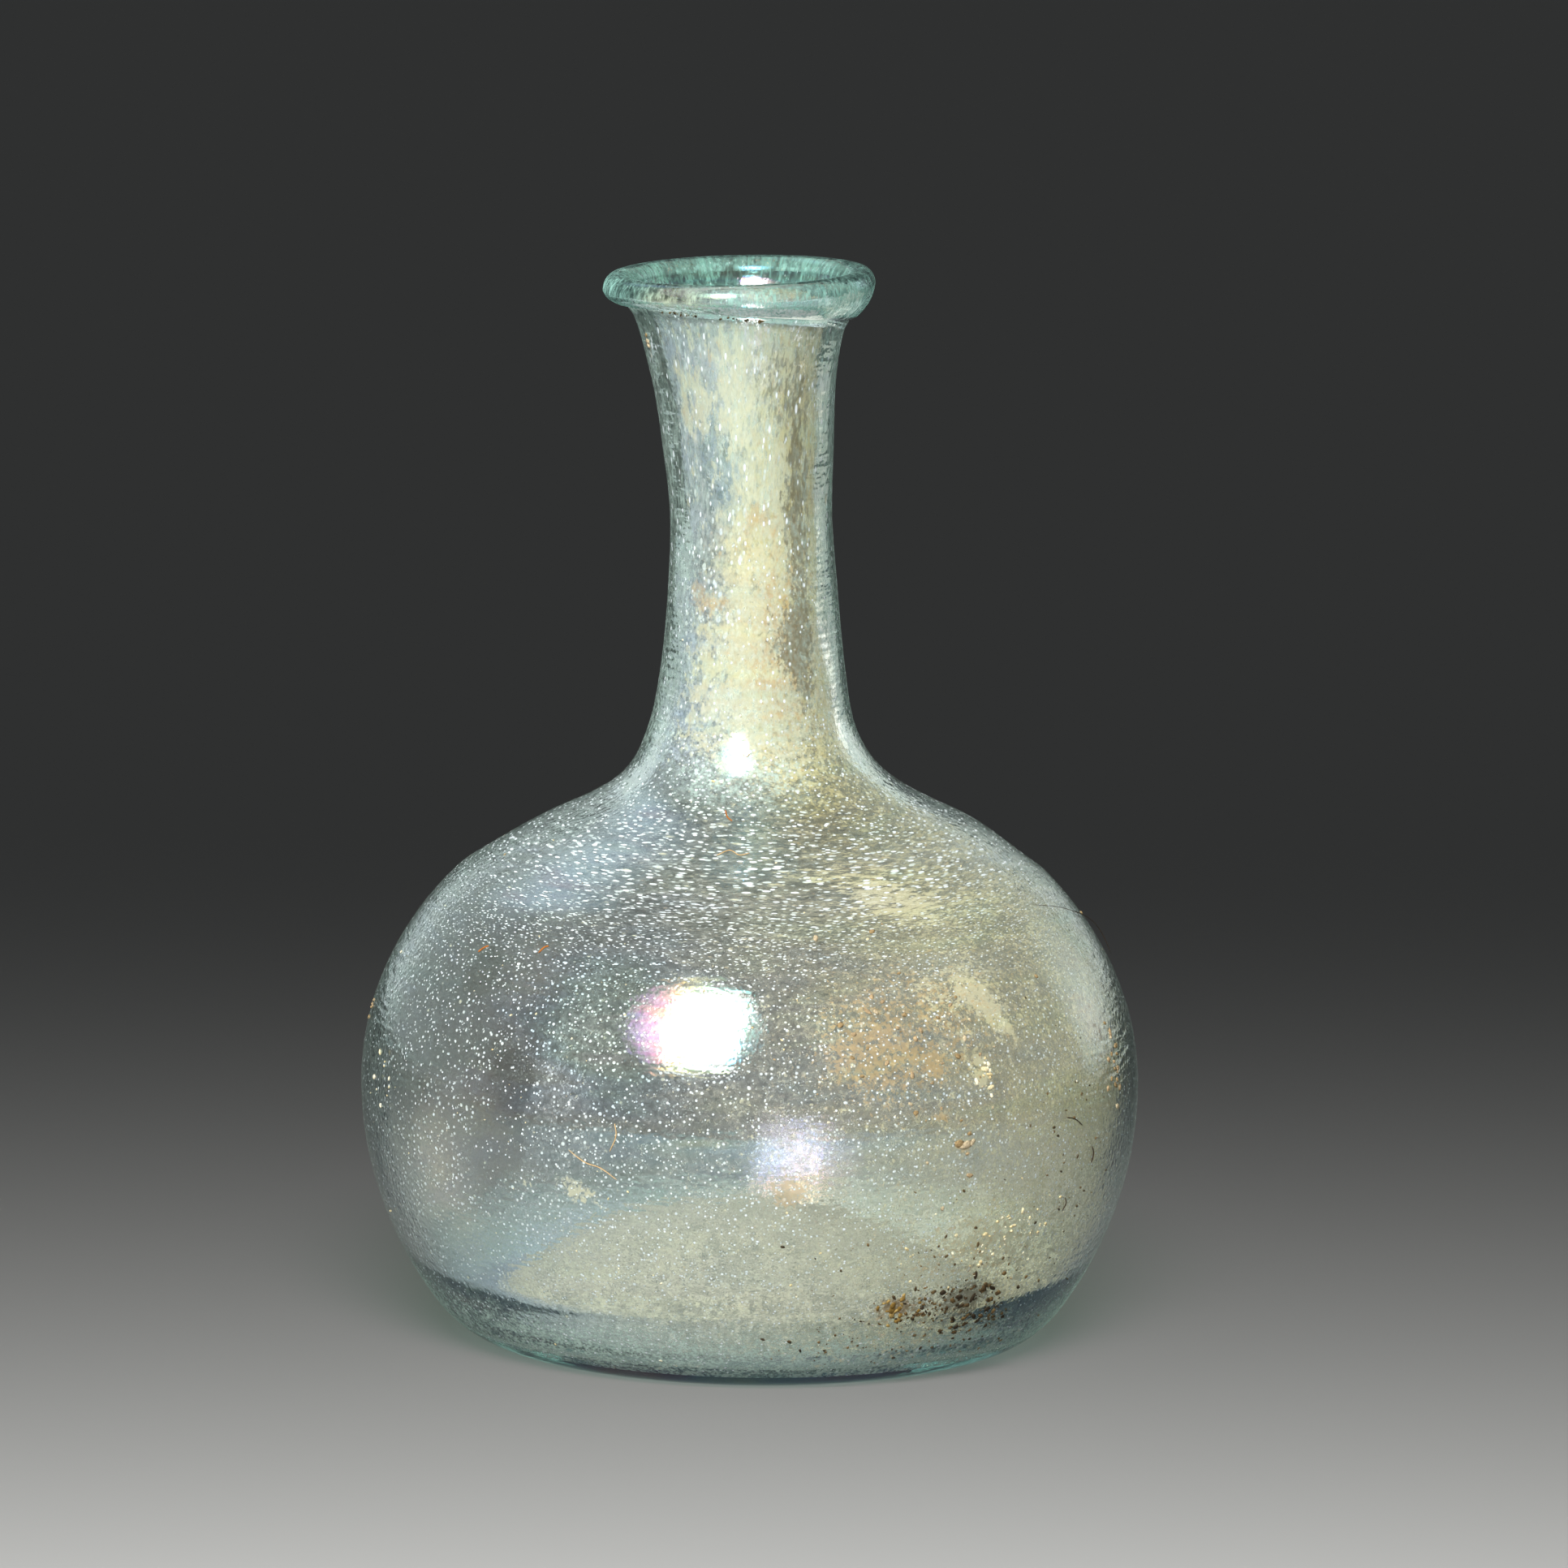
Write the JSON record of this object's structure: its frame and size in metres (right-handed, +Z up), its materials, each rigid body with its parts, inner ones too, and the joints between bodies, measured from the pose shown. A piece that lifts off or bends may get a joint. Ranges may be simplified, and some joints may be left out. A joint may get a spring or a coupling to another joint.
{
  "type": "glass unguentarium",
  "caption": "Small blown-glass unguent flask: squat globular body, pushed-in base, long slender leaning neck and a rim folded into a roll; weathered blue-green glass.",
  "frame": {"origin": "centre of the body's outline, on the surface the vessel stands on", "axes": "+Z up the body towards the mouth, +X to the viewer's right, -Y towards the viewer"},
  "size_m": [0.0718, 0.0718, 0.0987],
  "materials": {
    "blue_green_glass": "glossy old glass with a thin milky weathering film, fine pitting and earth stains"
  },
  "bodies": {
    "root": {"flask": "blue_green_glass"}
  },
  "joints": []
}
